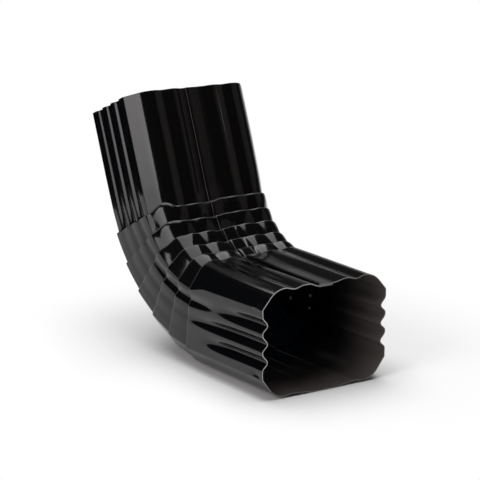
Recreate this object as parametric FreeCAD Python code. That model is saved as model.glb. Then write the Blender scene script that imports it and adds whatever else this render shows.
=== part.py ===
import FreeCAD, Part
import math
import os

# Downspout elbow: a ribbed, lock-seamed sheet-metal tube of one piece, bent by a row of crimped folds.
# Frame: the origin is the centre of the inlet opening, +Z is up, and water leaves level along +X.
# The heel is the long outer side of the bend, and the throat is its short inner side.

# Driving dimensions, in millimetres and degrees
width = 82.6                # over the crests of the two ribbed sides
depth = 60.3                # from the heel crests to the throat crests
sheet = 0.5
bend_angle = 67.8
fold_count = 6
throat_pitch = 9.3          # from one fold's rim to the next, along the throat
upper_leg = 68.0            # inlet to the first rim, along the throat
lower_leg = 69.7            # last rim to the outlet, along the throat
heel_tuck = 1.5             # overlap of each fold at the heel

# Ribbed sides
rib_pitch = 10.2
rib_count = 3               # hollows on each side
rib_depth = 3.1             # at the outlet
inlet_rib_depth = 2.1
rib_facets = 6              # flats that round one rib
folded_ribs = 0.15          # how much of the outlet's rib depth is left between the folds
folded_grooves = 0.6        # how much of the depth of the grooves is left there
upper_fade = 18.0           # length over which the ribs flatten above the first fold
lower_fade = 32.0           # length over which they come back below the last fold

# Corners between the sides and the faces, measured in from the side and in from the face
corner_height = 11.25       # the sharp edge of the side
knee_in, knee_up = 5.2, 4.5
bend_in, bend_up = 7.4, 2.5
toe_in, toe_up = 10.4, 0.9
crest_in = 14.8             # the crest of the face

# Heel and throat faces
groove_half = 6.0           # half the width of the two shallow grooves of a face
groove_facets = 4
heel_groove = 0.5
throat_groove = 1.25
heel_crown = 0.8            # bulge of the middle of the heel
crown_half = 7.4            # half the width of the crown's flat
shoulder_at = 10.3          # where the throat starts to fall towards the seam
seam_foot_at = 7.4
seam_depth = 1.9            # how deep the seam lies below the throat crests
seam_half = 4.5             # half the width of the lock seam
seam_layers_out = 2         # layers of the lock above the sheet on its left
seam_layers_in = 1          # layers of the lock below the sheet on its left
fold_layers = 2             # layers that a fold adds to the wall
heel_rise = 0.5             # a rim stands this far out, and the band before it as far in
throat_rise = 0.9           # the longer overlap is thicker there

half_turn = math.radians(bend_angle) / fold_count / 2
mitre_gain = depth * math.tan(half_turn)
throat_tuck = heel_tuck + mitre_gain      # the folds take up the length that the throat loses


# The section, as (across, up from the heel) points

def corner(face_at, inward, side):
    """Points from the sharp edge of a side to the crest of a face, inward being +1 from the heel."""
    steps = [(0, corner_height), (knee_in, knee_up), (bend_in, bend_up), (toe_in, toe_up), (crest_in, 0)]
    return [(side * (width / 2 - across), face_at + inward * up) for across, up in steps]


def wave(facets, index):
    """Share of the full hollow at one facet of a rib or groove."""
    return (1 - math.cos(2 * math.pi * index / facets)) / 2


def groove(face_at, inward, side, hollow):
    """Points of a face's shallow groove, from the crest beside the corner inwards."""
    start = width / 2 - crest_in
    points = []
    for index in range(1, groove_facets + 1):
        across = start - 2 * groove_half * index / groove_facets
        points.append((side * across, face_at + inward * hollow * wave(groove_facets, index)))
    return points


def throat_half(side, grooves, floor_rise):
    """One half of the throat face, from the sharp edge in to the seam."""
    floor = depth - grooves * seam_depth + floor_rise
    to_seam = [(side * shoulder_at, depth), (side * seam_foot_at, floor), (side * seam_half, floor)]
    return corner(depth, -1, side) + groove(depth, -1, side, grooves * throat_groove) + to_seam


def heel_half(side, grooves):
    """One half of the heel face, from the sharp edge in to the crown."""
    crown = [(side * crown_half, -grooves * heel_crown)]
    return corner(0, 1, side) + groove(0, 1, side, grooves * heel_groove) + crown


def ribbed_side(side, ribs):
    """The ribs of one side, from the throat down, without the sharp edges that the corners hold."""
    points = []
    for index in range(rib_count * rib_facets + 1):
        across = width / 2 - ribs * rib_depth * wave(rib_facets, index)
        up = depth / 2 + (rib_count / 2 - index / rib_facets) * rib_pitch
        points.append((side * across, up))
    return points


def section(ribs, grooves, seam_layers):
    """The closed outline. The lock seam stands the given layers above the sheet on its left."""
    left = throat_half(-1, grooves, 0)
    right = throat_half(1, grooves, sheet)
    seam_top = left[-1][1] + seam_layers * sheet
    throat = left + [(-seam_half, seam_top), (seam_half, seam_top)] + right[::-1]
    heel = heel_half(1, grooves) + heel_half(-1, grooves)[::-1]
    return throat + ribbed_side(1, ribs) + heel + ribbed_side(-1, ribs)[::-1]


def outward(start, end):
    """Unit vector that points out of the tube from one flat of the outline."""
    length = math.dist(start, end)
    return FreeCAD.Vector((start[1] - end[1]) / length, (end[0] - start[0]) / length, 0)


def offset_section(ribs, grooves, seam_layers, heel_offset, throat_offset):
    """The outline moved out of the sheet by an offset that changes evenly from the heel to the throat."""
    points = section(ribs, grooves, seam_layers)
    moved = []
    for before, point, after in zip(points[-1:] + points, points, points[1:] + points[:1]):
        both = outward(before, point) + outward(point, after)
        offset = heel_offset + (throat_offset - heel_offset) * point[1] / depth
        shift = both * (2 * offset / both.dot(both))
        moved.append((point[0] + shift.x, point[1] + shift.y))
    return moved


# The bend, as planes that each run from a heel point to a throat point

def flow(folds_passed):
    """Direction of the water after a number of folds."""
    angle = math.radians(bend_angle) - 2 * half_turn * folds_passed
    return FreeCAD.Vector(math.cos(angle), 0, -math.sin(angle))


def advance(plane, folds_passed, heel_step, throat_step):
    """A plane moved down the tube, by one distance at the heel and another at the throat."""
    along = flow(folds_passed)
    return plane[0] + along * heel_step, plane[1] + along * throat_step


def ring(plane, shares, seam_layers, heel_offset, throat_offset):
    """The edges of an offset section in a plane of the bend, with its shares of the ribs and grooves."""
    heel, throat = plane
    corners = []
    for across, up in offset_section(*shares, seam_layers, heel_offset, throat_offset):
        corners.append(heel + (throat - heel) * (up / depth) + FreeCAD.Vector(0, across, 0))
    return [Part.LineSegment(start, end).toShape() for start, end in zip(corners, corners[1:] + corners[:1])]


def rim_planes():
    """The inlet, the rim of each fold and the outlet."""
    down = flow(0)
    to_throat = FreeCAD.Vector(-down.z, 0, down.x)
    planes = [(to_throat * (-depth / 2), to_throat * (depth / 2))]
    throat_steps = [upper_leg] + [throat_pitch] * (fold_count - 1) + [lower_leg]
    for index, throat_step in enumerate(throat_steps):
        mitred_ends = 1 if index in (0, fold_count) else 2
        planes.append(advance(planes[-1], index, throat_step + mitred_ends * mitre_gain, throat_step))
    return planes


def skins():
    """Rings of the outer skin and of the inner skin, from the inlet to the outlet."""
    planes = rim_planes()
    at_inlet, at_outlet, folded = (inlet_rib_depth / rib_depth, 1), (1, 1), (folded_ribs, folded_grooves)
    upper_full = upper_leg - upper_fade
    lower_full = lower_leg - lower_fade
    upper_mid = advance(planes[0], 0, upper_full, upper_full)
    lower_mid = advance(planes[-1], fold_count, -lower_full, -lower_full)
    outer = []
    inner = []

    def leg(plane, shares, rise):
        heel, throat = rise * heel_rise, rise * throat_rise
        outer.append(ring(plane, shares, seam_layers_out, heel, throat))
        inner.append(ring(plane, shares, -seam_layers_in, heel - sheet, throat - sheet))

    leg(planes[0], at_inlet, 0)
    leg(upper_mid, at_inlet, -upper_full / upper_leg)
    for fold in range(1, fold_count + 1):
        rim = planes[fold]
        for side in (-1, 1):
            outer.append(ring(rim, folded, seam_layers_out, side * heel_rise, side * throat_rise))
        inner.append(ring(rim, folded, -seam_layers_in, -heel_rise - sheet, -throat_rise - sheet))
        last = fold == fold_count
        drop = 1 if last else 2
        throat_length = lower_leg if last else throat_pitch
        heel_length = throat_length + (1 if last else 2) * mitre_gain
        heel_level = heel_rise * (1 - drop * heel_tuck / heel_length)
        throat_level = throat_rise * (1 - drop * throat_tuck / throat_length)
        tuck = advance(rim, fold, heel_tuck, throat_tuck)
        for layers in (fold_layers + 1, 1):
            under = layers * sheet
            inner.append(ring(tuck, folded, -seam_layers_in, heel_level - under, throat_level - under))
    outer.append(ring(tuck, folded, seam_layers_out, heel_level, throat_level))
    leg(lower_mid, at_outlet, lower_full / lower_leg)
    leg(planes[-1], at_outlet, 0)
    return outer, inner


def skin_faces(rings):
    """Ruled faces from each ring to the next."""
    faces = []
    for upstream, downstream in zip(rings, rings[1:]):
        faces += [Part.makeRuledSurface(start, end) for start, end in zip(upstream, downstream)]
    return faces


def cut_edge(outer_ring, inner_ring):
    """The flat cut edge of the sheet at an open end."""
    return Part.makeFace([Part.Wire(outer_ring), Part.Wire(inner_ring)], "Part::FaceMakerBullseye")


def elbow():
    """The closed solid between the two skins and the two cut edges."""
    outer, inner = skins()
    ends = [cut_edge(outer[0], inner[0]), cut_edge(outer[-1], inner[-1])]
    shell = Part.makeShell(skin_faces(outer) + skin_faces(inner) + ends)
    shell.sewShape()
    solid = Part.makeSolid(shell)
    if solid.Volume < 0:
        solid.reverse()
    return solid


os.makedirs("parts", exist_ok=True)
elbow_shell = elbow()
elbow_shell.exportStep("parts/elbow_shell.step")
outlet_heel, outlet_throat = rim_planes()[-1]
print("valid", elbow_shell.isValid(), "volume", round(elbow_shell.Volume), "faces", len(elbow_shell.Faces))
print("box", elbow_shell.BoundBox)
print("outlet centre", (outlet_heel + outlet_throat) / 2)
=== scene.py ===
import math

import bmesh
import bpy
from mathutils import Matrix, Vector, noise


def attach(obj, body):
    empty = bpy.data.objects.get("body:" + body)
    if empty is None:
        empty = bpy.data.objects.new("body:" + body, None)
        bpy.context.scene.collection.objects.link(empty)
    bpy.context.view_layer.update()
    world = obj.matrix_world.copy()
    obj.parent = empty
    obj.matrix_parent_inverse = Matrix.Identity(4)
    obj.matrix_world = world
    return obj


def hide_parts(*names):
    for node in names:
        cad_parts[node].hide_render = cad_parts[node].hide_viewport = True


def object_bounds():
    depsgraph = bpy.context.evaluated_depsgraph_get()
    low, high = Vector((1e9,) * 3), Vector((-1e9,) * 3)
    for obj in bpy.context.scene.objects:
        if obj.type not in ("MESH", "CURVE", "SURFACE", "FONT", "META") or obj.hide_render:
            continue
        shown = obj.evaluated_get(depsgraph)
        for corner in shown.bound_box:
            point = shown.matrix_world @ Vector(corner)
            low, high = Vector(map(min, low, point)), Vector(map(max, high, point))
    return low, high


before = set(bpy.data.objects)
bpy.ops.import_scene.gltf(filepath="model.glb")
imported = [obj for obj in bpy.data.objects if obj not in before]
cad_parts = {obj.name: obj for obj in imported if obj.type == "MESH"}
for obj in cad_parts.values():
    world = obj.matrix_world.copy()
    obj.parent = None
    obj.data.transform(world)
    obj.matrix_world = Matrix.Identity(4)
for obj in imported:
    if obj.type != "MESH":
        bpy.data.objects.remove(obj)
cad_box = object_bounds()

# The heel is the long outer side of the bend, and the throat is its short inner side

# Sizes of the elbow, in metres and degrees
width = 0.0826               # over the crests of the two ribbed sides
depth = 0.0603               # from the heel crests to the throat crests
sheet = 0.0005
bend_angle = 67.8
fold_count = 6
throat_pitch = 0.0093        # from one fold's rim to the next, along the throat
upper_leg = 0.068            # inlet to the first rim, along the throat
lower_leg = 0.0697           # last rim to the outlet, along the throat
heel_tuck = 0.0015           # overlap of each fold at the heel

# Ribs and grooves
rib_pitch = 0.0102
rib_count = 3                # hollows on each side
rib_depth = 0.0031           # at the outlet
inlet_ribs = 0.66            # share of that depth at the inlet
upper_end_ribs = 0.54        # share of it at the first fold, where the ribs run under its rim
folded_ribs = (0.12, 0.08, 0.05)  # share of it that each rib keeps in the bend, from the throat down
top_rib = (0, 0.1, 0.12, 0.16, 0.4, 0.5, 0.5)  # share that the top rib keeps at each rim, the inlet first
late_length = 0.034          # how far the top rib's share runs on into the lower leg
hollow_at = 0.55             # where a rib is deepest, as a share of its pitch from the throat side
hollow_power = 1.35          # above 1 for wide crests and narrow hollows
groove_half = 0.006          # half the width of the shallow grooves of a face
heel_groove = 0.0005
throat_groove = 0.00125
heel_crown = 0.0008          # bulge of the middle of the heel
crown_half = 0.0074          # half the width of the crown's flat
folded_grooves = 0.6         # share of the grooves' depth that is left in the bend
upper_fade = 0.010           # length over which the ribs flatten above the first fold
lower_starts = (0.022, -0.010, 0.008)  # how far below the last fold each rib starts to come back
lower_fades = (0.034, 0.050, 0.030)  # length over which each rib comes back
groove_fade = 0.034          # length over which the grooves come back

# Slow forms of the rolled sheet
side_dip = 0.0004            # how far the sides of the upper leg dip at the first fold
dip_length = 0.014           # length of the leg over which they dip
dip_in = 0.006               # where the dip starts, measured in from the side
dip_blend = 0.005            # distance across over which it reaches its full depth
waviness = 0.00012
wave_across = 0.0075         # size of the waves round the tube
wave_along = 0.3             # size of the waves along it
wave_pattern = 0.5           # which layer of the noise the waves come from

# Corners, measured in from the side and in from the face
edge_up = 0.01125            # the edge of a side
edge_round = 0.0018          # radius of that edge
slope_reach = 0.00867        # where the corner's slope would meet the face
crest_in = 0.0148            # the crest of the face
fold_corner = 0.0030         # how much taller the throat's corners are at the last fold
corner_fade = 0.016          # length of the lower leg over which that is lost
flat_slack = 1e-7            # points this near the plane of a side lie on its flats

# The lock seam in the middle of the throat
shoulder_at = 0.0126         # where the throat starts to fall towards the seam
seam_foot_at = 0.0072        # where that fall ends
seam_depth = 0.0019          # how deep the sheet beside the seam lies below the throat's crests
seam_half = 0.0045           # half the width of the seam
seam_lip = 0.00042           # radius of the folded edges of the seam
seam_tilt = 0.00055          # the strip's right edge lies this much lower than its left edge

# What has changed at the mouth
mouth_left_shoulder = 0.0106  # the trough beside the seam is narrower on its left
mouth_right_shoulder = 0.0136  # and wider on its right
mouth_foot = 0.0047
rib_drift = 0.0011           # how far the ribs have moved towards the throat

# The crimped folds
heel_rise = 0.0005           # a rim stands this far out at the heel, and the band before it as far in
throat_rise = 0.0009         # the same at the throat
crevice = 0.00012            # gap under a rim
crevice_share = 0.45         # how far the gap reaches into the overlap
rim_end = 1.35               # where a rim runs into its band, as a multiple of its rise
rim_clear = 0.14             # share of a band, after its rim, that has no more rings
upper_dip_power = 4          # above 1, so that the upper leg swells before it dips under a rim
band_dip_power = 1.7         # the same for the bands between the folds
corner_reach = (0, 0.0034, 0.0012, 0.0012, 0.0008, 0.0006, 0)  # how far each rim's left corner reaches up
right_reach = (0, 0.0013, 0.0012, 0.0014, 0.0012, 0.0012, 0.0019)  # how far its right half reaches up
reach_fade = 0.018           # length of the legs over which that is lost
reach_from = 0.55            # where the rims start to reach up, as a share of the depth from the heel
reach_blend = 0.4            # share of the depth over which they come to their full reach

# Pillows: the flat left corners of some bands, placed by shares of the way from the side to the crest
pillow_levels = {1: (0.0008, -0.00036), 2: (0.0013, -0.00118), 3: (0.0002, 0.0001)}  # start and end of each
pillow_tilts = {1: 0.0007, 2: 0.0007, 3: -0.0003}  # how much higher the side edge of each stands
pillow_start = 0.0006        # how much lower each one starts, below the rim before it
pillow_swell = 0.24          # share of the band over which it swells to its level
pillow_up = 0.95             # where it lies between the heel and the throat
pillow_from = 0.08
pillow_grow = 0.2
pillow_to = 1.15
pillow_fade = 0.3
pillow_hinge = 1.1           # where the tilt is nought
pillow_span = 0.8            # share over which the tilt comes to its full height

# Where the finish changes, and where painted light and shade fall on it
cut_edge = 0.00005           # length of bare metal at the two ends
edge_shade_share = 0.3              # how much of the bare edge shows where painted shade dims it
heel_shade_share = 0.3              # share of the depth, from the heel, over which painted shade dims the edge
wear_and_highlight_from = 0.2              # where the wear and painted highlight of a rim start, as a share of the way round it
wear_and_highlight_blend = 0.5
dark_from = 0.008            # how far from an end the painted shade of the inside starts
dark_length = 0.042
smooth_below = 42            # degrees

# Steps along each run of the outline
edge_steps = 4
slope_steps = 5
arc_steps = 10
rib_steps = 16
groove_steps = 14
fall_steps = 7
crown_steps = 5
lip_steps = 4
strip_steps = 4
flat_steps = 4

# Steps along the tube
leg_steps = 40
band_steps = 10
inner_leg_steps = 14
inner_band_steps = 3
rim_arc_steps = 8
nose_steps = 4

half_turn = math.radians(bend_angle) / fold_count / 2
mitre_gain = depth * math.tan(half_turn)
throat_tuck = heel_tuck + mitre_gain
whole_length = upper_leg + (fold_count - 1) * throat_pitch + lower_leg
across_axis = Vector((0, 1, 0))


def wave(share):
    """Share of the full hollow, part of the way across a rib or groove."""
    return (1 - math.cos(2 * math.pi * share)) / 2


def clamp(share):
    """A share kept between 0 and 1."""
    return min(max(share, 0), 1)


def ease(share):
    """Smooth step from 0 to 1."""
    share = clamp(share)
    return share * share * (3 - 2 * share)


def mix(start, end, share):
    """A number part of the way from a start to an end."""
    return start + (end - start) * share


# The outline of the tube, as (across, up from the heel) points

def corner(edge):
    """Points from the side to the crest of a face, as (in from the side, in from the face)."""
    slope = math.atan2(edge, slope_reach)
    turn = math.pi / 2 - slope
    edge_centre = Vector((edge_round, edge + edge_round * math.tan(turn / 2)))
    points = []
    for step in range(edge_steps + 1):
        angle = turn * step / edge_steps
        points.append(edge_centre - edge_round * Vector((math.cos(angle), math.sin(angle))))
    tangent = crest_in - slope_reach
    slope_start = points[-1]
    slope_end = Vector((slope_reach - tangent * math.cos(slope), tangent * math.sin(slope)))
    for step in range(1, slope_steps):
        points.append(slope_start.lerp(slope_end, step / slope_steps))
    radius = tangent / math.tan(slope / 2)
    for step in range(arc_steps + 1):
        angle = slope * (1 - step / arc_steps)
        points.append(Vector((crest_in - radius * math.sin(angle), radius * (1 - math.cos(angle)))))
    return points


def face_half(hollow, edge):
    """A corner and the shallow groove beside it, as (in from the side, in from the face)."""
    points = corner(edge)
    for step in range(1, groove_steps + 1):
        share = step / groove_steps
        points.append(Vector((crest_in + 2 * groove_half * share, hollow * wave(share))))
    return points


def throat_half(grooves, edge, shoulder, foot, floor):
    """One half of the throat, from the side in to the edge of the seam."""
    points = [(width / 2 - point.x, depth - point.y) for point in face_half(grooves * throat_groove, edge)]
    for step in range(fall_steps + 1):
        share = step / fall_steps
        points.append((mix(shoulder, foot, share), mix(depth, floor, ease(share))))
    points.append((seam_half, floor))
    return points


def heel_half(grooves, edge):
    """One half of the heel, from the side in to the crown."""
    points = [(width / 2 - point.x, point.y) for point in face_half(grooves * heel_groove, edge)]
    groove_end = points[-1][0]
    crown = -grooves * heel_crown
    for step in range(1, crown_steps + 1):
        share = step / crown_steps
        points.append((mix(groove_end, crown_half, share), crown * ease(share)))
    points.append((crown_half / 3, crown))
    return points


def ribbed_side(ribs, drift):
    """The ribs of one side, from the throat down, each with its own share of the full depth."""
    points = []
    for step in range(rib_count * rib_steps + 1):
        rib = min(step // rib_steps, rib_count - 1)
        share = step / rib_steps - rib
        to_hollow = share / hollow_at if share < hollow_at else (1 - share) / (1 - hollow_at)
        hollow = wave(to_hollow / 2) ** hollow_power
        up = depth / 2 + drift + (rib_count / 2 - rib - share) * rib_pitch
        points.append((width / 2 - ribs[rib] * rib_depth * hollow, up))
    return points


def flat(start, end):
    """Points between the edge of a corner and the ribs beside it."""
    return [Vector(start).lerp(Vector(end), step / flat_steps) for step in range(1, flat_steps)]


def seam_edge(rise):
    """The folded edge of the seam strip, as (in from the edge, up from the sheet beside it)."""
    lip = math.copysign(min(seam_lip, abs(rise)), rise)
    points = []
    for step in range(lip_steps + 1):
        angle = math.pi / 2 * step / lip_steps
        points.append((seam_lip * (1 - math.cos(angle)), rise - lip * (1 - math.sin(angle))))
    return points


def seam_strip(left_floor, right_floor, top):
    """The strip of the lock seam, from its left edge to its right edge."""
    right_top = top - seam_tilt if top > left_floor else top
    left = [(-seam_half + inward, left_floor + up) for inward, up in seam_edge(top - left_floor)]
    right = [(seam_half - inward, right_floor + up) for inward, up in seam_edge(right_top - right_floor)]
    half_top = seam_half - seam_lip
    shares = [step / strip_steps for step in range(1, strip_steps)]
    middle = [(half_top * (2 * share - 1), mix(top, right_top, share)) for share in shares]
    return left + middle + right[::-1]


def mirrored(points):
    """The same points on the other side of the tube, in the opposite order."""
    return [(-across, up) for across, up in points[::-1]]


def on_seam(across, up):
    """Whether a point of the outline lies on the lock seam."""
    return abs(across) < seam_half + seam_lip and up > depth / 2


def ways_out(points):
    """The direction out of the sheet at each point of a closed outline."""
    ways = []
    for slot, (across, up) in enumerate(points):
        before, after = points[slot - 1], points[(slot + 1) % len(points)]
        if on_seam(across, up):
            ways.append(Vector((0, 1)))
        elif abs(across) > width / 2 - flat_slack:
            ways.append(Vector((math.copysign(1, across), 0)))
        else:
            along = Vector((after[0] - before[0], after[1] - before[1])).normalized()
            ways.append(Vector((-along.y, along.x)))
    return ways


def outline(ribs, grooves, seam_rise, mouth, corner_growth):
    """The closed outline, from the seam's left edge round to its foot.

    The mouth value is 0 in the upper leg and the bend, and grows to 1 at the mouth."""
    left_floor = depth - grooves * seam_depth
    right_floor = left_floor + sheet
    drift = mouth * rib_drift
    edge = edge_up + corner_growth - drift
    foot = mix(seam_foot_at, mouth_foot, mouth)
    left = throat_half(grooves, edge, mix(shoulder_at, mouth_left_shoulder, mouth), foot, left_floor)
    right = throat_half(grooves, edge, mix(shoulder_at, mouth_right_shoulder, mouth), foot, right_floor)
    strip = seam_strip(left_floor, right_floor, left_floor + seam_rise)
    heel = heel_half(grooves, edge_up)
    ridges = ribbed_side(ribs, drift)
    side = flat(right[0], ridges[0]) + ridges + flat(ridges[-1], heel[0])
    return strip + right[::-1] + side + heel + mirrored(heel) + mirrored(side) + mirrored(left[::-1])


# The bend, as planes that each run from a heel point to a throat point

def flow(folds_passed):
    """Direction of the water after a number of folds."""
    angle = math.radians(bend_angle) - 2 * half_turn * folds_passed
    return Vector((math.cos(angle), 0, -math.sin(angle)))


def advance(plane, folds_passed, heel_step, throat_step):
    """A plane moved down the tube, by one distance at the heel and another at the throat."""
    along = flow(folds_passed)
    return plane[0] + along * heel_step, plane[1] + along * throat_step


def rim_planes():
    """The inlet, the rim of each fold and the outlet."""
    down = flow(0)
    to_throat = Vector((-down.z, 0, down.x))
    planes = [(to_throat * (-depth / 2), to_throat * (depth / 2))]
    throat_steps = [upper_leg] + [throat_pitch] * (fold_count - 1) + [lower_leg]
    for index, throat_step in enumerate(throat_steps):
        mitred_ends = 1 if index in (0, fold_count) else 2
        planes.append(advance(planes[-1], index, throat_step + mitred_ends * mitre_gain, throat_step))
    return planes


planes = rim_planes()


class Run:
    """A stretch of wall from one plane to the next: a leg, or a band between two folds."""

    def __init__(self, index):
        self.index = index
        self.start = planes[index]
        self.upper, self.lower = index == 0, index == fold_count
        self.is_leg = self.upper or self.lower
        self.throat_length = upper_leg if self.upper else lower_leg if self.lower else throat_pitch
        self.heel_length = self.throat_length + (1 if self.is_leg else 2) * mitre_gain
        self.passed = 0 if self.upper else upper_leg + (index - 1) * throat_pitch
        self.start_rise = 0 if self.upper else 1
        self.end_rise = 0 if self.lower else -1
        self.dip_power = upper_dip_power if self.upper else 1 if self.lower else band_dip_power

    def fullness(self, distance, start=0, fade=groove_fade):
        """How full a rib or groove is at a distance from the start, from 0 to 1."""
        if self.upper:
            return ease((self.throat_length - distance) / upper_fade)
        if self.lower:
            return ease((distance - throat_tuck / 2 - start) / fade)
        return 0

    def ribs(self, distance):
        """The share of the full depth that each rib has."""
        if self.upper:
            return [mix(upper_end_ribs, inlet_ribs, self.fullness(distance))] * rib_count
        shares = []
        for kept, start, fade in zip(folded_ribs, lower_starts, lower_fades):
            shares.append(mix(kept, 1, self.fullness(distance, start, fade)))
        if self.lower:
            shares[0] = max(shares[0], top_rib[-1] * ease(1 - distance / late_length))
        else:
            shares[0] = mix(top_rib[self.index], top_rib[self.index + 1], distance / self.throat_length)
        return shares

    def corner_growth(self, distance):
        """How much taller the throat's corners are at the folds."""
        if self.upper:
            return 0
        if self.lower:
            return fold_corner * ease(1 - distance / corner_fade)
        return fold_corner * (self.index + distance / self.throat_length) / fold_count

    def rise(self, share):
        """How far the outside stands out, as a share of the rim's rise."""
        return mix(self.start_rise, self.end_rise, max(share, 0) ** self.dip_power)

    def pillow(self, share):
        """How far the left corner stands out from the rest of a band."""
        if self.index not in pillow_levels:
            return 0
        level = mix(*pillow_levels[self.index], share) - pillow_start * (1 - ease(share / pillow_swell))
        return level - throat_rise * pillow_up * self.rise(share)

    def reaches(self, share):
        """How much of the rim before and of the rim after is felt here."""
        if self.upper:
            return 0, ease(1 - (1 - share) * self.throat_length / reach_fade)
        if self.lower:
            return ease(1 - share * self.throat_length / reach_fade), 0
        return 1 - share, share

    def ring(self, heel_step, throat_step, under=0.0, seam_rise=2 * sheet, rise_less=0.0, **finish):
        """A ring at two distances from the start, under the outside of the wall or less risen than it."""
        heel_share, throat_share = heel_step / self.heel_length, throat_step / self.throat_length
        return {
            "plane": advance(self.start, self.index, heel_step, throat_step),
            "along": flow(self.index),
            "ribs": self.ribs(throat_step),
            "grooves": mix(folded_grooves, 1, self.fullness(throat_step)),
            "corner_growth": self.corner_growth(throat_step),
            "seam_rise": seam_rise,
            "mouth": ease(throat_share) if self.lower else 0,
            "heel_level": heel_rise * (self.rise(heel_share) - rise_less) - under,
            "throat_level": throat_rise * (self.rise(throat_share) - rise_less) - under,
            "dip": side_dip * ease(1 - (upper_leg - throat_step) / dip_length) if self.upper else 0,
            "pillow": self.pillow(throat_share),
            "fold": self.index,
            "reaches": self.reaches(clamp(throat_share)),
            "way": self.passed + throat_step,
            "finish": finish,
        }

    def at(self, share, **details):
        """A ring at the same share of the way along the heel and the throat."""
        return self.ring(self.heel_length * share, self.throat_length * share, **details)

    def wall(self):
        """The rings of the outside, between the rims or ends."""
        if self.is_leg:
            return [self.at(step / leg_steps) for step in range(1, leg_steps)]
        return [self.at(mix(rim_clear, 1, step / band_steps)) for step in range(1, band_steps)]


runs = [Run(index) for index in range(fold_count + 1)]


def folded_rim(before, after):
    """Rings from the end of a band, into the gap under the next rim and round the rim."""
    rings = [before.at(1)]
    heel_gap, throat_gap = crevice_share * heel_tuck, crevice_share * throat_tuck
    rings.append(after.ring(heel_gap, throat_gap, rise_less=2))
    rings.append(after.ring(heel_gap, throat_gap, rise_less=2, under=-crevice))
    for step in range(rim_arc_steps + 1):
        angle = math.pi * step / rim_arc_steps
        forward = 1 - math.sin(angle)
        down = 1 + math.cos(angle)
        gap = crevice * down / 2
        # stretched paint and a painted highlight: the paler paint grows round the rim's nose
        worn = ease((step / rim_arc_steps - wear_and_highlight_from) / wear_and_highlight_blend)
        heel_step, throat_step = heel_rise * forward, throat_rise * forward
        rings.append(after.ring(heel_step, throat_step, rise_less=down, under=-gap, worn=worn))
    rings.append(after.ring(heel_rise * rim_end, throat_rise * rim_end))
    return rings


def outer_skin():
    """Rings from the inlet to the outlet, on the outside of the wall."""
    first, last = runs[0], runs[-1]
    rings = [first.at(0, bare=1), first.ring(cut_edge, cut_edge)]
    rings += first.wall()
    for before, after in zip(runs, runs[1:]):
        rings += folded_rim(before, after)
        rings += after.wall()
    rings.append(last.ring(last.heel_length - cut_edge, last.throat_length - cut_edge))
    rings.append(last.at(1, bare=1))
    return rings


def tuck_nose(run):
    """Rings round the folded end of a tuck, from the wall that it lies on to its own inside."""
    rings = []
    for step in range(nose_steps + 1):
        angle = math.pi / 2 * step / nose_steps
        back = sheet * (1 - math.cos(angle))
        under = sheet * (1 + 2 * math.sin(angle))
        heel_step, throat_step = heel_tuck - back, throat_tuck - back
        rings.append(run.ring(heel_step, throat_step, under=under, seam_rise=-sheet, inside=1))
    return rings


def inner_skin():
    """Rings from the outlet back to the inlet, on the inside of the wall."""
    inside = {"under": sheet, "seam_rise": -sheet, "inside": 1}
    first, last = runs[0], runs[-1]
    rings = [last.at(1, bare=1, **inside)]
    rings.append(last.ring(last.heel_length - cut_edge, last.throat_length - cut_edge, **inside))
    for run in runs[:0:-1]:
        steps = inner_leg_steps if run is last else inner_band_steps
        tuck_share = throat_tuck / run.throat_length
        heel_share = heel_tuck / run.heel_length
        for step in range(1 if run is last else 0, steps):
            share = step / steps
            heel_step = run.heel_length * (1 - share * (1 - heel_share))
            throat_step = run.throat_length * (1 - share * (1 - tuck_share))
            rings.append(run.ring(heel_step, throat_step, **inside))
        rings += tuck_nose(run)
    for step in range(inner_leg_steps):
        rings.append(first.at(1 - step / inner_leg_steps, **inside))
    rings.append(first.ring(cut_edge, cut_edge, **inside))
    rings.append(first.at(0, bare=1, **inside))
    return rings


def rim_reach(fold, across, up):
    """How far a rim reaches up the tube at a point of the outline."""
    if not 1 <= fold <= fold_count:
        return 0
    near_throat = ease((up / depth - reach_from) / reach_blend)
    on_corner = wave(clamp((width / 2 - abs(across)) / crest_in))
    left = corner_reach[fold] * on_corner * near_throat if across < 0 else 0
    right = right_reach[fold] * ease(across / seam_half / 2 + 0.5) * near_throat
    return left + right


def pillow_level(ring, across, up):
    """How far a pillow moves the sheet out at a point of the outline."""
    if ring["fold"] not in pillow_levels or up <= depth / 2 or across >= 0:
        return 0
    from_side = (width / 2 - abs(across)) / crest_in
    on_pillow = ease((from_side - pillow_from) / pillow_grow) * ease((pillow_to - from_side) / pillow_fade)
    tilt = pillow_tilts[ring["fold"]] * (pillow_hinge - from_side) / pillow_span
    return on_pillow * (ring["pillow"] + tilt)


def sheet_level(ring, across, up, distance):
    """How far the sheet stands out at a point of the outline, a distance round from its start."""
    level = mix(ring["heel_level"], ring["throat_level"], up / depth)
    on_wave = Vector((distance / wave_across, wave_pattern, ring["way"] / wave_along))
    level -= waviness * (1 + noise.noise(on_wave)) / 2
    level -= ring["dip"] * ease((abs(across) - width / 2 + dip_in) / dip_blend)
    return level + pillow_level(ring, across, up)


# Small dents and burrs, each as its middle, its reach along each axis and how far it moves the sheet out
knocks = (
    ((0.1545, -0.0413, -0.1236), (0.0062, 0.003, 0.0019), -0.00095),  # low on the left of the mouth
    ((0.1590, -0.0413, -0.1248), (0.0022, 0.003, 0.0016), -0.0006),
    ((0.1540, -0.0409, -0.0865), (0.0024, 0.0017, 0.0017), 0.0007),  # high on the left of the mouth
    ((0.1594, -0.0411, -0.0873), (0.0018, 0.0014, 0.0014), 0.0005),
)


def knocked(place):
    """How far the dents and burrs move the sheet out at a place."""
    moved = 0
    for middle, reach, height in knocks:
        offset = Vector((a - b) / c for a, b, c in zip(place, middle, reach))
        moved += height * ease(1 - offset.length)
    return moved


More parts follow.
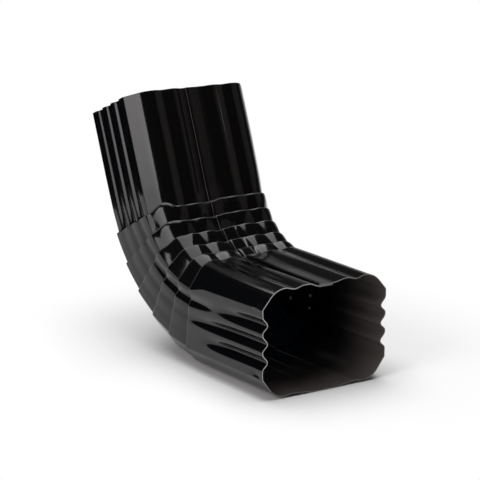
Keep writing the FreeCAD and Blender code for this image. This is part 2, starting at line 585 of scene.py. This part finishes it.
def lengths_along(points):
    """How far each point lies along a row of points."""
    lengths = [0.0]
    for start, end in zip(points, points[1:]):
        lengths.append(lengths[-1] + math.dist(start, end))
    return lengths


def edge_shine(across, up):
    """How bright the bare edge is: painted shade dims it at the end of the seam, on the right and along the
    heel.
    """
    if on_seam(across, up):
        return edge_shade_share
    return mix(1, edge_shade_share, max(ease(across / width + 0.5), ease(1 - up / depth / heel_shade_share)))


full_outline = outline([1] * rib_count, 1, 2 * sheet, 0, 0)
slot_count = len(full_outline)
distances_round = lengths_along(full_outline)
edge_shines = [edge_shine(*point) for point in full_outline]


def ring_points(ring):
    """The points of a ring, in the order of the outline."""
    heel, throat = ring["plane"]
    shape = (ring[name] for name in ("ribs", "grooves", "seam_rise", "mouth", "corner_growth"))
    outline_points = outline(*shape)
    points = []
    for (across, up), way_out, distance in zip(outline_points, ways_out(outline_points), distances_round):
        level = sheet_level(ring, across, up, distance)
        before, after = (rim_reach(ring["fold"] + rim, across, up) for rim in (0, 1))
        reach = before * ring["reaches"][0] + after * ring["reaches"][1]
        across += way_out.x * level
        up += way_out.y * level
        place = heel + (throat - heel) * (up / depth) + across_axis * across - ring["along"] * reach
        outward = across_axis * way_out.x + (throat - heel) * (way_out.y / depth)
        points.append(place + outward * knocked(place))
    return points


# The folded sheet, drawn out ring by ring along the outside and back along the inside

finish_layers = ("inside", "worn", "bare", "deep", "around", "along")


def start_sheet():
    """A loop of edges with a point for each point of the outline, and the layers that the paint reads."""
    bpy.ops.object.select_all(action="DESELECT")
    bpy.ops.mesh.primitive_circle_add(vertices=slot_count, radius=depth / 2)
    shell = bpy.context.object
    shell.name = "folded_sheet"
    bpy.ops.object.mode_set(mode="EDIT")
    bpy.ops.mesh.select_mode(type="EDGE")
    bpy.ops.mesh.select_all(action="SELECT")
    mesh = bmesh.from_edit_mesh(shell.data)
    mesh.verts.layers.int.new("slot")
    for name in finish_layers:
        mesh.verts.layers.float.new(name)
    slot_layer = mesh.verts.layers.int["slot"]
    for slot, vertex in enumerate(mesh.verts):
        vertex[slot_layer] = slot
    return shell


def place_ring(shell, ring):
    """Moves the newest loop of points to a ring and writes how it is finished."""
    mesh = bmesh.from_edit_mesh(shell.data)
    mesh.verts.ensure_lookup_table()
    slot_layer = mesh.verts.layers.int["slot"]
    layers = {name: mesh.verts.layers.float[name] for name in finish_layers}
    from_end = min(ring["way"], whole_length - ring["way"])
    finish = ring["finish"]
    points = ring_points(ring)
    for vertex in mesh.verts[-slot_count:]:
        slot = vertex[slot_layer]
        vertex.co = points[slot]
        vertex[layers["inside"]] = finish.get("inside", 0)
        vertex[layers["worn"]] = finish.get("worn", 0)
        # painted shade: the bare edge is dimmed at the seam, on the right and along the heel
        vertex[layers["bare"]] = finish.get("bare", 0) * edge_shines[slot]
        # painted shade: how far in from the ends the ring lies, which darkens the inside and takes away its
        # shine
        vertex[layers["deep"]] = ease((from_end - dark_from) / dark_length)
        vertex[layers["around"]] = distances_round[slot]
        vertex[layers["along"]] = ring["way"]
    bmesh.update_edit_mesh(shell.data)


def close_sheet(shell):
    """Joins the last loop to the first at the inlet, and smooths the shell."""
    mesh = bmesh.from_edit_mesh(shell.data)
    mesh.verts.ensure_lookup_table()
    for vertex in mesh.verts[:slot_count]:
        vertex.select = True
    mesh.select_flush(True)
    bpy.ops.mesh.bridge_edge_loops()
    bpy.ops.mesh.select_all(action="SELECT")
    bpy.ops.mesh.normals_make_consistent(inside=False)
    bpy.ops.object.mode_set(mode="OBJECT")
    bpy.ops.object.shade_smooth_by_angle(angle=math.radians(smooth_below))


def model_sheet():
    """The whole elbow, as one closed shell."""
    shell = start_sheet()
    for index, ring in enumerate(outer_skin() + inner_skin()):
        if index:
            bpy.ops.mesh.extrude_edges_indiv()
        place_ring(shell, ring)
    close_sheet(shell)
    return shell


# Finishes

black_coat = (0.0016, 0.0017, 0.0020, 1)
# paler paint on the rim noses: stretched paint, and a painted highlight along each rim
stretched_coat_and_highlight = (0.055, 0.055, 0.057, 1)
# painted highlight along a crease on the throat
throat_highlight_tone = (0.10, 0.095, 0.09, 1)
brown_coat = (0.076, 0.066, 0.062, 1)
# painted shade: the inside darkens to this farther in from the ends
deep_shade_tone = (0.005, 0.0068, 0.0115, 1)
# painted highlights on the inside of the heel
heel_highlight_tone = (0.16, 0.155, 0.15, 1)
# painted glints on the tuck ends inside
glint_tone = (0.6, 0.6, 0.58, 1)
bare_metal = (0.36, 0.36, 0.355, 1)
coat_roughness = (0.09, 0.14)  # between the streaks and on them
inside_roughness = 0.45
metal_roughness = 0.35
coat_shine = 0.5
inside_shine = 0.3           # near the two ends, and none deep inside
coat_ior = 1.4
streak_scales = (220, 25)    # streaks in a metre round the sheet and along it
wear_and_highlight_scale = 160
least_wear_and_highlight = 0.45            # share of a rim's wear and painted highlight that is left where the wear is thin
skin_scale = 420
skin_strength = 0.05
skin_height = 0.0002
fine_detail = 3.0            # layers of noise in the streaks and the wear

# Painted highlights and glints, each as its middle and its reach, round and along the sheet or along the
# axes
throat_crease_highlight = (
    ((0.0209, 0.019, 0), (0.00031, 0.026, 1)),  # painted highlight along a crease on the throat below the inlet
)
heel_highlight_lines = (
    ((0.1220, 0.137, 0), (0.00067, 0.034, 1)),  # painted highlights on the inside of the heel
    ((0.1335, 0.143, 0), (0.0007, 0.027, 1)),
    ((0.1426, 0.154, 0), (0.0008, 0.024, 1)),
)
tuck_glints = (
    ((0.0724, 0.0399, -0.1118), (0.0014, 0.003, 0.0017)),  # painted glints on the tuck ends of the far wall inside
    ((0.0918, 0.0398, -0.1060), (0.0010, 0.003, 0.0014)),
    ((0.0904, 0.0403, -0.1139), (0.0009, 0.003, 0.0009)),
)


def new_material(name):
    """An empty node material and its tree."""
    material = bpy.data.materials.new(name)
    material.use_nodes = True
    tree = material.node_tree
    tree.nodes.clear()
    return material, tree


def node(tree, kind, **settings):
    """A new shader node with its properties set by name."""
    new = tree.nodes.new(kind)
    for name, value in settings.items():
        setattr(new, name, value)
    return new


def attribute(tree, name):
    """A layer of the sheet, as a number."""
    return node(tree, "ShaderNodeAttribute", attribute_name=name).outputs["Fac"]


def blend(tree, share, start, end):
    """Mixes two colours or numbers by a share, each given as a value or a socket."""
    kind = "RGBA" if isinstance(start, tuple) or getattr(start, "type", "") == "RGBA" else "FLOAT"
    mixer = node(tree, "ShaderNodeMix", data_type=kind)
    sockets = [socket for socket in mixer.inputs if socket.enabled]
    for socket, value in zip(sockets, (share, start, end)):
        if hasattr(value, "node"):
            tree.links.new(value, socket)
        else:
            socket.default_value = value
    return next(socket for socket in mixer.outputs if socket.enabled)


def combine(tree, operation, first, second):
    """The result of a named operation on two numbers."""
    worked = node(tree, "ShaderNodeMath", operation=operation)
    tree.links.new(first, worked.inputs[0])
    tree.links.new(second, worked.inputs[1])
    return worked.outputs["Value"]


def grain(tree, coordinates, scale, detail=2.0):
    """Noise, as a number from 0 to 1."""
    texture = node(tree, "ShaderNodeTexNoise")
    texture.inputs["Scale"].default_value = scale
    texture.inputs["Detail"].default_value = detail
    tree.links.new(coordinates, texture.inputs["Vector"])
    return texture.outputs["Fac"]


def stretch(tree, source, low, high, start=0.0, end=1.0, curve="LINEAR"):
    """Maps a range of a number to another range."""
    mapped = node(tree, "ShaderNodeMapRange", interpolation_type=curve)
    for name, value in zip(("From Min", "From Max", "To Min", "To Max"), (low, high, start, end)):
        mapped.inputs[name].default_value = value
    tree.links.new(source, mapped.inputs["Value"])
    return mapped.outputs["Result"]


def sheet_place(tree, round_scale=1, along_scale=1):
    """A place on the unrolled sheet, from the metres round it and along it, each times a scale."""
    place = node(tree, "ShaderNodeCombineXYZ")
    for name, scale, axis in (("around", round_scale, "X"), ("along", along_scale, "Y")):
        tree.links.new(stretch(tree, attribute(tree, name), 0, 1, 0, scale), place.inputs[axis])
    return place.outputs["Vector"]


def spot(tree, place, middle, reach):
    """A small mark that falls from 1 in its middle to 0 at its reach along each axis."""
    offset = node(tree, "ShaderNodeVectorMath", operation="SUBTRACT")
    offset.inputs[1].default_value = middle
    tree.links.new(place, offset.inputs[0])
    share = node(tree, "ShaderNodeVectorMath", operation="DIVIDE")
    share.inputs[1].default_value = reach
    tree.links.new(offset.outputs["Vector"], share.inputs[0])
    length = node(tree, "ShaderNodeVectorMath", operation="LENGTH")
    tree.links.new(share.outputs["Vector"], length.inputs[0])
    return stretch(tree, length.outputs["Value"], 0, 1, 1, 0, "SMOOTHSTEP")


def marks(tree, place, spots):
    """Some small marks, added up."""
    result = spot(tree, place, *spots[0])
    for middle, reach in spots[1:]:
        result = combine(tree, "ADD", result, spot(tree, place, middle, reach))
    return result


def outside_coat_and_highlights(tree, place, on_sheet):
    """Black, paler on the rims for stretched paint and a painted highlight along each, with a painted
    highlight along a crease on the throat.
    """
    # the paler rim paint, partly stretched paint and partly painted highlight, varies with a grain
    wear_and_highlight_grain = stretch(tree, grain(tree, place, wear_and_highlight_scale, fine_detail), 0.3, 0.6, least_wear_and_highlight, 1)
    worn = combine(tree, "MULTIPLY", attribute(tree, "worn"), wear_and_highlight_grain)
    colour = blend(tree, worn, black_coat, stretched_coat_and_highlight)
    # painted highlight: a pale line along a crease on the throat
    return blend(tree, marks(tree, on_sheet, throat_crease_highlight), colour, throat_highlight_tone)


def back_coat_and_painted_light(tree, place, on_sheet, deep):
    """Dull brown, with painted shade that darkens it farther in, painted highlights on the heel and painted
    glints on the far wall.
    """
    colour = blend(tree, deep, brown_coat, deep_shade_tone)
    colour = blend(tree, marks(tree, on_sheet, heel_highlight_lines), colour, heel_highlight_tone)
    return blend(tree, marks(tree, place, tuck_glints), colour, glint_tone)


def gloss_black_paint():
    """Gloss paint outside, a dull back coat inside, and bare metal at the cut ends."""
    material, tree = new_material("gloss_black_paint")
    output = node(tree, "ShaderNodeOutputMaterial")
    paint = node(tree, "ShaderNodeBsdfPrincipled")
    inside, bare, deep = (attribute(tree, name) for name in ("inside", "bare", "deep"))
    place = node(tree, "ShaderNodeTexCoord").outputs["Object"]
    on_sheet = sheet_place(tree)
    outside = outside_coat_and_highlights(tree, place, on_sheet)
    colour = blend(tree, inside, outside, back_coat_and_painted_light(tree, place, on_sheet, deep))
    tree.links.new(blend(tree, bare, colour, bare_metal), paint.inputs["Base Color"])
    streaks = grain(tree, sheet_place(tree, *streak_scales), 1.0, fine_detail)
    roughness = stretch(tree, streaks, 0.3, 0.7, *coat_roughness)
    roughness = blend(tree, inside, roughness, inside_roughness)
    tree.links.new(blend(tree, bare, roughness, metal_roughness), paint.inputs["Roughness"])
    tree.links.new(bare, paint.inputs["Metallic"])
    shine = blend(tree, inside, coat_shine, blend(tree, deep, inside_shine, 0.0))
    tree.links.new(shine, paint.inputs["Specular IOR Level"])
    paint.inputs["IOR"].default_value = coat_ior
    skin = node(tree, "ShaderNodeBump")
    skin.inputs["Strength"].default_value = skin_strength
    skin.inputs["Distance"].default_value = skin_height
    tree.links.new(grain(tree, place, skin_scale), skin.inputs["Height"])
    tree.links.new(skin.outputs["Normal"], paint.inputs["Normal"])
    tree.links.new(paint.outputs["BSDF"], output.inputs["Surface"])
    return material


# The set: floor, dark studio, lights and camera

floor_level = cad_box[0].z
floor_size = 16
floor_tone = (0.9, 0.9, 0.9, 1)
floor_middle = (0.07, 0, 0)
shadow_reach = (0.09, 0.20)  # the floor is as lit up to the first distance, and plain white from the second
studio_tone = (0.045, 0.042, 0.041, 1)
camera_place = Vector((0.93498, -0.57976, 0.17499))
camera_aim = Vector((0.07794, 0, -0.07052))
camera_roll = 0.29           # degrees
focal_length = 139.77        # millimetres
sensor_width = 36            # millimetres
farthest_seen = 30
black, warm, pale = (0.012, 0.014, 0.018), (0.26, 0.232, 0.21), (0.75, 0.75, 0.75)

# Cards, as name, bearing, distance, size across and up, lift, colours of foot and top, and soft sides
cards = (
    ("left_flag", -166, 0.37, 0.56, 0.36, 0.0, black, black, 0),
    ("front_left_flag", -113.2, 0.762, 0.576, 0.36, 0.0, black, black, 0),
    ("warm_card", 61, 0.6, 0.60, 0.34, 0.2, warm, warm, 0.15),
    ("rear_card", 138, 0.75, 0.9, 0.36, 0.0, pale, black, 0),
)


def add_camera():
    """The camera at the place that the photograph was taken from."""
    bpy.ops.object.camera_add(location=camera_place)
    camera = bpy.context.object
    camera.name = "photo_camera"
    camera.data.sensor_width = sensor_width
    camera.data.lens = focal_length
    camera.data.clip_end = farthest_seen
    turn = (camera_aim - camera_place).to_track_quat("-Z", "Y").to_matrix()
    camera.rotation_euler = (turn @ Matrix.Rotation(math.radians(camera_roll), 3, "Z")).to_euler()
    bpy.context.scene.camera = camera


def add_softbox(name, place, aim, size_across, size_up, radiance, colour=(1, 1, 1)):
    """A rectangular lamp that faces the aim point."""
    bpy.ops.object.light_add(type="AREA", location=place)
    lamp = bpy.context.object
    lamp.name = name
    lamp.data.shape = "RECTANGLE"
    lamp.data.size = size_across
    lamp.data.size_y = size_up
    lamp.data.energy = radiance * math.pi * size_across * size_up
    lamp.data.color = colour
    lamp.rotation_euler = (Vector(aim) - Vector(place)).to_track_quat("-Z", "Y").to_euler()
    lamp.visible_camera = False
    return lamp


def grade_softbox(lamp, low, high, foot_share):
    """Dims a softbox below one height, down to a share of its light at a lower one."""
    lamp.data.use_nodes = True
    tree = lamp.data.node_tree
    height = node(tree, "ShaderNodeSeparateXYZ")
    tree.links.new(node(tree, "ShaderNodeNewGeometry").outputs["Position"], height.inputs["Vector"])
    share = stretch(tree, height.outputs["Z"], low, high, foot_share, 1.0)
    tree.links.new(share, tree.nodes["Emission"].inputs["Strength"])


def pale_floor():
    """A matt floor that shows the shadow near the elbow and fades to plain white farther out."""
    material, tree = new_material("pale_floor")
    output = node(tree, "ShaderNodeOutputMaterial")
    matt = node(tree, "ShaderNodeBsdfDiffuse")
    matt.inputs["Color"].default_value = floor_tone
    white = node(tree, "ShaderNodeEmission")
    white.inputs["Strength"].default_value = 1
    from_elbow = node(tree, "ShaderNodeVectorMath", operation="DISTANCE")
    from_elbow.inputs[1].default_value = floor_middle
    tree.links.new(node(tree, "ShaderNodeTexCoord").outputs["Object"], from_elbow.inputs[0])
    far = stretch(tree, from_elbow.outputs["Value"], *shadow_reach, curve="SMOOTHSTEP")
    rays = node(tree, "ShaderNodeLightPath").outputs
    seen = combine(tree, "MAXIMUM", rays["Is Camera Ray"], rays["Is Glossy Ray"])
    seen = combine(tree, "MAXIMUM", seen, rays["Is Transmission Ray"])
    surface = node(tree, "ShaderNodeMixShader")
    tree.links.new(combine(tree, "MULTIPLY", far, seen), surface.inputs["Fac"])
    tree.links.new(matt.outputs["BSDF"], surface.inputs[1])
    tree.links.new(white.outputs["Emission"], surface.inputs[2])
    tree.links.new(surface.outputs["Shader"], output.inputs["Surface"])
    return material


def add_floor():
    """The floor that the elbow stands on."""
    bpy.ops.mesh.primitive_plane_add(size=floor_size)
    floor = bpy.context.object
    floor.name = "studio_floor"
    bpy.ops.transform.translate(value=(0, 0, floor_level))
    floor.data.materials.append(pale_floor())


def card_finish(name, size_across, size_up, foot_colour, top_colour, soft_sides):
    """Matt card stock, graded from its foot to its top and darker towards soft sides."""
    material, tree = new_material(name)
    output = node(tree, "ShaderNodeOutputMaterial")
    matt = node(tree, "ShaderNodeBsdfDiffuse")
    place = node(tree, "ShaderNodeSeparateXYZ")
    tree.links.new(node(tree, "ShaderNodeTexCoord").outputs["Object"], place.inputs["Vector"])
    height = stretch(tree, place.outputs["Y"], -size_up / 2, size_up / 2)
    colour = blend(tree, height, (*foot_colour, 1), (*top_colour, 1))
    if soft_sides:
        from_middle = node(tree, "ShaderNodeMath", operation="ABSOLUTE")
        tree.links.new(place.outputs["X"], from_middle.inputs[0])
        side = stretch(tree, from_middle.outputs["Value"], size_across / 2 - soft_sides, size_across / 2)
        colour = blend(tree, side, colour, (*black, 1))
    tree.links.new(colour, matt.inputs["Color"])
    tree.links.new(matt.outputs["BSDF"], output.inputs["Surface"])
    return material


def add_card(name, bearing, distance, size_across, size_up, lift, foot_colour, top_colour, soft_sides):
    """An upright card that faces the elbow from a bearing and is seen in its gloss alone."""
    turn = math.radians(bearing)
    middle = Vector((floor_middle[0] + distance * math.cos(turn), distance * math.sin(turn), 0))
    middle.z = floor_level + lift + size_up / 2
    bpy.ops.mesh.primitive_plane_add(size=1, location=middle, rotation=(math.pi / 2, 0, turn + math.pi / 2))
    card = bpy.context.object
    card.name = name
    card.scale = (size_across, size_up, 1)
    bpy.ops.object.transform_apply(location=False, rotation=False, scale=True)
    card.visible_camera = False
    card.visible_shadow = False
    card.visible_diffuse = False
    finish = card_finish(name, size_across, size_up, foot_colour, top_colour, soft_sides)
    card.data.materials.append(finish)


def light_studio():
    """A softbox on the left, dimmer towards its foot, one overhead, and a dark room."""
    left = add_softbox(
        "left_softbox",
        place=(0.272, -0.742, 0.16),
        aim=(0.06, 0, -0.03),
        size_across=0.464,
        size_up=0.55,
        radiance=5.2,
        colour=(1.0, 0.966, 0.973),
    )
    grade_softbox(left, low=0.07, high=0.22, foot_share=0.62)
    add_softbox(
        "overhead_softbox",
        place=(-0.219, 0.003, 1.25),
        aim=(-0.128, -0.039, -0.05),
        size_across=1.42,
        size_up=2.1,
        radiance=3.0,
    )
    world = bpy.data.worlds.new("dark_studio")
    world.use_nodes = True
    world.node_tree.nodes["Background"].inputs["Color"].default_value = studio_tone
    bpy.context.scene.world = world


bpy.context.scene.view_settings.view_transform = "Standard"
add_camera()
shell = model_sheet()
shell.data.materials.append(gloss_black_paint())
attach(shell, "root")
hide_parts("elbow_shell")
add_floor()
for card in cards:
    add_card(*card)
light_studio()
